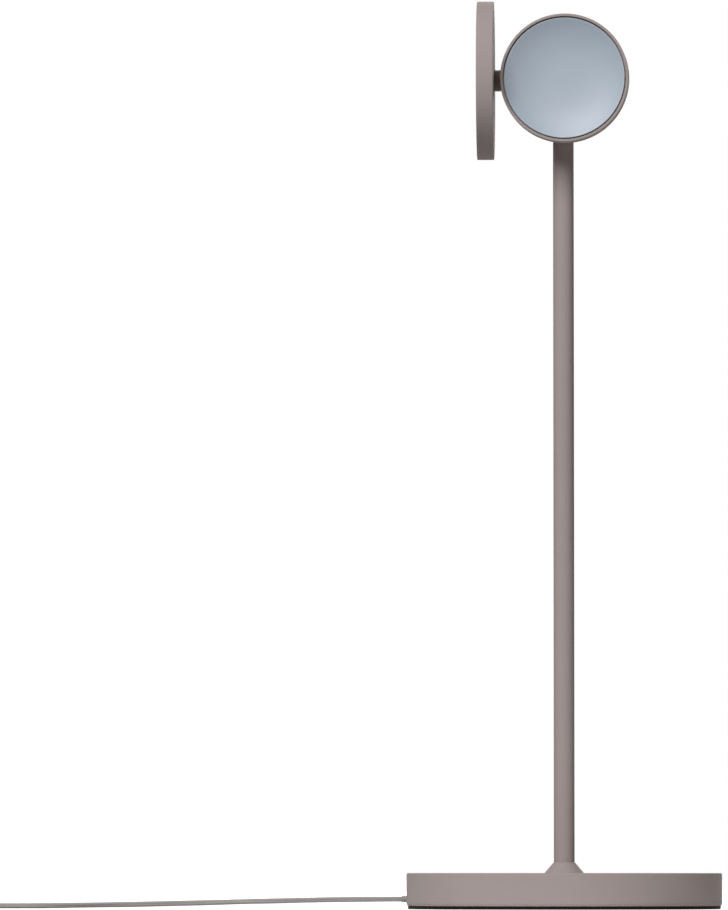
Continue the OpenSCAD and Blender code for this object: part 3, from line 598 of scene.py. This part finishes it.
def lay_cord():
    line = cord_line()
    flex = swept(line, twin_outline(), wander)
    cord = piece("cord", flex, "cord_grey", "base", "cord_run", "cord_coil")
    ties = piece("coil_straps", softened("coil_ties", 0.15), "tie", "base", "coil_ties")
    nose = piece(
        "cord_nose",
        spun([(CORD_HOLE_R, -2), (2.2, -2), (2.2, 0), (1.7, 0), (1.68, 0.4, 0.08), (1.48, 0.55, 0.08),
              (1.47, 0.85, 0.08), (1.64, 1, 0.08), (1.62, 1.35, 0.08), (1.45, 1.5, 0.08), (1.44, 1.8, 0.08),
              (1.58, 1.95, 0.08), (1.55, 2.4, 0.15), (CORD_HOLE_R, 2.4)], ring=True, sides=48),
        "grommet", "base", "cord_grommet", place=CORD_EXIT)
    case, lid, blades, relief = make_adapter()


def make_adapter():
    """The plug-in adapter lies on its back beside the coil."""
    middle = moved(ADAPTER_X, 72.8, 0)
    grips = bmesh.new()
    for side in (-1, 1):
        for k in range(6):
            rod(grips, 0.7, 4, 16, middle @ moved(side * 17.35, -10 + 3.2 * k, 0), sides=16)
    shell = carved(softened("adapter_case", 0.6), grips)
    case = piece("adapter_shell", shell, "adapter_black", "base", "adapter_case")
    lid = piece("adapter_face", softened("adapter_lid", 0.6), "adapter_black", "base", "adapter_lid")
    holes = bmesh.new()
    for side in (-1, 1):
        rod(holes, 1.5, -3, 3, middle @ moved(side * 6.35, 0, 36.2) @ turned(90, "Y"), sides=24)
    prongs = carved(softened("adapter_blades", 0.3), holes)
    blades = piece("adapter_prongs", prongs, "steel", "base", "adapter_blades")
    sleeve = [(CORD_HOLE_R, -3.4), (2.4, -3.4), (2.4, 0), (3.15, 0, 0.2)]
    for k in range(4):
        low = 1.8 + 2.9 * k
        wide = 3.05 - 0.27 * k
        sleeve += [(wide, low, 0.15), (wide - 0.55, low + 0.3, 0.15),
                   (wide - 0.6, low + 1.1, 0.15), (wide - 0.1, low + 1.4, 0.15)]
    sleeve += [(1.98, 14, 0.3), (CORD_HOLE_R, 14)]
    relief = piece("adapter_sleeve", spun(sleeve, ring=True, sides=48), "adapter_black", "base",
                   "adapter_relief", place=moved(ADAPTER_X, 48.8, 11.25) @ turned(90, "X"))
    return case, lid, blades, relief


# Base

def screw_spots():
    """Where the four screws of the base stand."""
    return [turned(45 + 90 * k, "Z") @ moved(SCREW_CIRCLE, 0, 0) for k in range(4)]


def make_base():
    under = BASE_TOP - 2
    inner = BASE_R - 2
    shell = spun([(inner, FOOT_TOP), (BASE_R - 0.5, FOOT_TOP, 0.12), (BASE_R, FOOT_TOP + 1.3, 0.2),
                  (BASE_R, BASE_TOP, 0.8), (BORE_R, BASE_TOP, 0.1), (BORE_R, under), (inner, under)],
                 ring=True, sides=256)
    for spot in screw_spots():
        rod(shell, 3.5, FOOT_TOP + 1.6, BASE_TOP - 1, spot)
    holes = bmesh.new()
    rod(holes, 8.8, -3.1, 1.9, TOUCH_SPOT, sides=96)
    rod(holes, 2.25, -4, 1, CORD_EXIT)
    piece("base_shell", carved(shell, holes), "taupe_paint", "base", "base_cover")

    sole_r = BASE_R - 0.7
    sole = spun([(0, 0), (sole_r, 0, 0.45), (sole_r, FOOT_TOP, 0.2), (0, FOOT_TOP)], sides=256)
    wells = bmesh.new()
    for spot in screw_spots():
        rod(wells, 3.5, -1, 2, spot)
    piece("foot_sole", carved(sole, wells), "foot_rubber", "base", "foot_pad")

    heads, slots = bmesh.new(), bmesh.new()
    for k, spot in enumerate(screw_spots()):
        rod(heads, 2.95, 0.4, FOOT_TOP, spot)
        rod(heads, 1.5, FOOT_TOP, FOOT_TOP + 9, spot, sides=32)
        for across in (0, 90):
            block(slots, (3.2, 0.7, 1.2), spot @ turned(20 * k + across, "Z") @ moved(0, 0, 0.4))
    screws = carved(heads, slots)
    rims = [e for e in screws.edges
            if e.is_manifold and e.calc_face_angle() > 1 and e.calc_length() < 0.6 * MM]
    bmesh.ops.bevel(screws, geom=rims, offset=0.12 * MM, offset_type="OFFSET", segments=2, profile=0.5,
                    affect="EDGES", material=-1, clamp_overlap=True)
    piece("foot_screws", screws, "steel", "base", "bottom_screws")

    disc = spun([(0, -1.95), (TOUCH_R, -1.95), (TOUCH_R, 0, 0.22), (TOUCH_R - 0.6, 0, 0.1),
                 (TOUCH_R - 0.75, -0.08, 0.1), (0, -0.08)])
    piece("touch_disc", disc, "touch_steel", "base", "touch_pad", place=TOUCH_SPOT)
    seat = TOUCH_R + 0.05
    collar = spun([(seat, 0, 0.12), (8.75, 0, 0.15), (8.75, -2), (10.2, -2.05), (10.2, -2.8),
                   (4.5, -2.8), (4.5, -2), (seat, -2)], ring=True)
    piece("touch_collar", collar, "black_plastic", "base", "touch_ring", place=TOUCH_SPOT)


# Pole

def make_pole():
    cone = spun([(BORE_R, BASE_TOP), (CONE_R, BASE_TOP, 0.1), (POLE_R + 0.15, CONE_TOP - 0.05, 0.2),
                 (POLE_R - 0.05, CONE_TOP, 0.05), (BORE_R, CONE_TOP)], ring=True)
    piece("pole_foot", cone, "taupe_paint", "base", "pole_cone")
    inner = POLE_R - 1.1
    tube = spun([(inner, CONE_TOP), (POLE_R, CONE_TOP, 0.15), (POLE_R, POLE_TOP, 0.15), (inner, POLE_TOP)],
                ring=True)
    piece("pole_tube", tube, "taupe_paint", "base", "pole")
    piece("pole_top", softened("pole_spindle", 0.15), "steel", "base", "pole_spindle")


# Head

def make_head():
    piece("head_body", softened("head_hub", 0.22), "black_plastic", "head", "head_hub")
    spigot, lid = HUB_TOP - 2.2, HUB_TOP + 1.6
    cap = spun([(0, spigot), (4.85, spigot), (4.85, HUB_TOP), (6, HUB_TOP, 0.1), (6, lid, 0.6), (0, lid)])
    piece("head_lid", cap, "black_plastic", "head", "hub_cap")
    piece("hinge_axle", softened("hinge_pin", 0.15), "steel", "head", "hinge_pin")


# Lamps

def make_lamp(name, radius, place, body):
    """One lamp: its painted pan, the ring in the groove, and the dish, which grows steeper outwards."""
    wall = radius - 1.3
    pan = [(0, 0), (radius, 0, 0.35), (radius, PAN_RIM, 0.35), (wall, PAN_RIM, 0.15),
           (wall, PAN_FLOOR), (0, PAN_FLOOR)]
    piece(name + "_pan", spun(pan, sides=256), "taupe_paint", body, name + "_housing", place=place)

    edge = radius - 2
    skirt = edge - 1.8
    out = wall - 0.05
    # The ring's tone is darker than the pan's paint, partly painted shade of the groove
    ring = spun([(skirt, PAN_FLOOR), (out, PAN_FLOOR), (out, RING_TOP, 0.1), (edge + 0.05, RING_TOP, 0.1),
                 (edge + 0.05, DISH_SEAT), (skirt, DISH_SEAT)], ring=True, sides=192)
    piece(name + "_groove_ring", ring, "ring_umber", body, name + "_retainer", place=place)

    reach = edge - 0.4
    under = DISH_MIDDLE - DISH_WALL
    front = [(reach * k / 32, DISH_MIDDLE + DISH_SAG * (k / 32) ** 3) for k in range(33)]
    back = [(skirt * k / 16, under + DISH_SAG * (skirt * k / 16 / reach) ** 3) for k in range(16, -1, -1)]
    lip = [(edge, DISH_MIDDLE + DISH_SAG, 0.12), (edge, DISH_SEAT), (skirt, DISH_SEAT)]
    dish = spun(front + lip + back, sides=192)
    share = dish.verts.layers.float.new("from_middle")
    for vert in dish.verts:
        vert[share] = math.hypot(vert.co.x, vert.co.y) / (edge * MM)
    piece(name + "_dish", dish, "opal", body, name + "_diffuser", place=place)


def make_lamps():
    make_lamp("large", LARGE_R, LARGE_LAMP, "large_lamp")
    make_lamp("small", SMALL_R, SMALL_LAMP, "small_lamp")
    piece("large_joint", softened("large_knuckle", 0.2), "black_plastic", "large_lamp", "large_knuckle")
    piece("small_arm", softened("small_bracket", 0.25), "black_plastic", "small_lamp", "small_bracket")


# The rest of the part keeps its own shape

KEPT = {
    "steel": ["bottom_plate", "board_screws", "clamp_screws", "pole_washer", "spindle_nut",
              "large_board_screws", "large_mount_screws", "small_board_screws", "small_mount_screws"],
    "brass": ["touch_contact", "pole_nipple", "pole_nut", "friction_washer", "hinge_washers"],
    "cast_iron": ["base_weight"],
    "board_green": ["driver_board", "adapter_board"],
    "board_white": ["large_led_board", "small_led_board"],
    "led": ["large_leds", "small_leds"],
    "chip_black": ["board_parts"],
    "black_plastic": ["cord_clamp"],
    "cord_grey": ["inner_lead"],
    "wire_white": ["pole_wire", "arm_wire"],
}


def dress_kept():
    for finish, names in KEPT.items():
        for name in names:
            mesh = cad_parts[name].data
            mesh.materials.clear()
            mesh.materials.append(FINISH[finish])


# Studio

def pale_floor():
    """A floor that looks white and keeps the object's shadow.

    The light that it throws back on the object is bright near the base and dim farther out.
    """
    bm = bmesh.new()
    bmesh.ops.create_grid(bm, x_segments=1, y_segments=1, size=15)
    mesh = bpy.data.meshes.new("floor")
    bm.to_mesh(mesh)
    bm.free()
    floor = bpy.data.objects.new("floor", mesh)
    bpy.context.scene.collection.objects.link(floor)
    finish = Finish("floor", Roughness=0.9, Specular_IOR_Level=0.1, Emission_Strength=1.0)
    seen = finish.white_rays()
    away = finish.rings(0, 0, 0)
    near = finish.node("MapRange", None, {"Value": away, "From Min": 0.09, "From Max": 0.25})
    far = finish.node("MapRange", None, {"Value": away, "From Min": 0.5, "From Max": 1.8})
    lit = finish.blend(near, (0.9, 0.9, 0.9, 1), (0.3, 0.3, 0.3, 1))
    glow = finish.blend(far, (0.69, 0.69, 0.69, 1), (1.04, 1.04, 1.04, 1))
    finish.set(
        Base_Color=finish.blend(seen, lit, (0.5, 0.5, 0.5, 1)),
        Emission_Color=finish.blend(seen, (0, 0, 0, 1), glow),
    )
    mesh.materials.append(finish.material)


def white_surroundings():
    """White where it is seen, and a dim grey room for everything else."""
    world = bpy.data.worlds.new("surroundings")
    bpy.context.scene.world = world
    world.use_nodes = True
    nodes, links = world.node_tree.nodes, world.node_tree.links
    room = nodes["Background"]
    room.inputs["Color"].default_value = (0.04, 0.04, 0.04, 1)
    white = nodes.new("ShaderNodeBackground")
    white.inputs["Color"].default_value = (1, 1, 1, 1)
    rays = nodes.new("ShaderNodeLightPath").outputs
    seen = rays[WHITE_RAYS[0]]
    for kind in WHITE_RAYS[1:]:
        either = nodes.new("ShaderNodeMath")
        either.operation = "MAXIMUM"
        links.new(seen, either.inputs[0])
        links.new(rays[kind], either.inputs[1])
        seen = either.outputs[0]
    mix = nodes.new("ShaderNodeMixShader")
    links.new(seen, mix.inputs[0])
    links.new(room.outputs[0], mix.inputs[1])
    links.new(white.outputs[0], mix.inputs[2])
    links.new(mix.outputs[0], nodes["World Output"].inputs["Surface"])


def soft_lamp(name, power, size, place, target=(0, 0, 0.22), colour=(1, 1, 1)):
    lamp = bpy.data.lights.new(name, "AREA")
    lamp.shape = "RECTANGLE"
    lamp.size, lamp.size_y = size
    lamp.energy = power
    lamp.color = colour
    holder = bpy.data.objects.new(name, lamp)
    holder.location = place
    holder.rotation_euler = (Vector(target) - Vector(place)).to_track_quat("-Z", "Y").to_euler()
    holder.visible_camera = False
    bpy.context.scene.collection.objects.link(holder)


def light_studio():
    white_surroundings()
    pale_floor()
    soft_lamp("key", 164, (2.2, 2.2), (-1.3, -2.95, 2.85))
    soft_lamp("fill", 2, (0.9, 0.7), (1.5, -1.4, 0.35), target=(0, 0, 0.05), colour=(1.0, 0.91, 0.78))
    soft_lamp("back", 60, (1.6, 1.6), (0.6, 3.2, 1.7))


aim_camera()
lay_cord()
make_base()
make_pole()
make_head()
make_lamps()
dress_kept()
light_studio()

bpy.context.scene.view_settings.view_transform = "Standard"
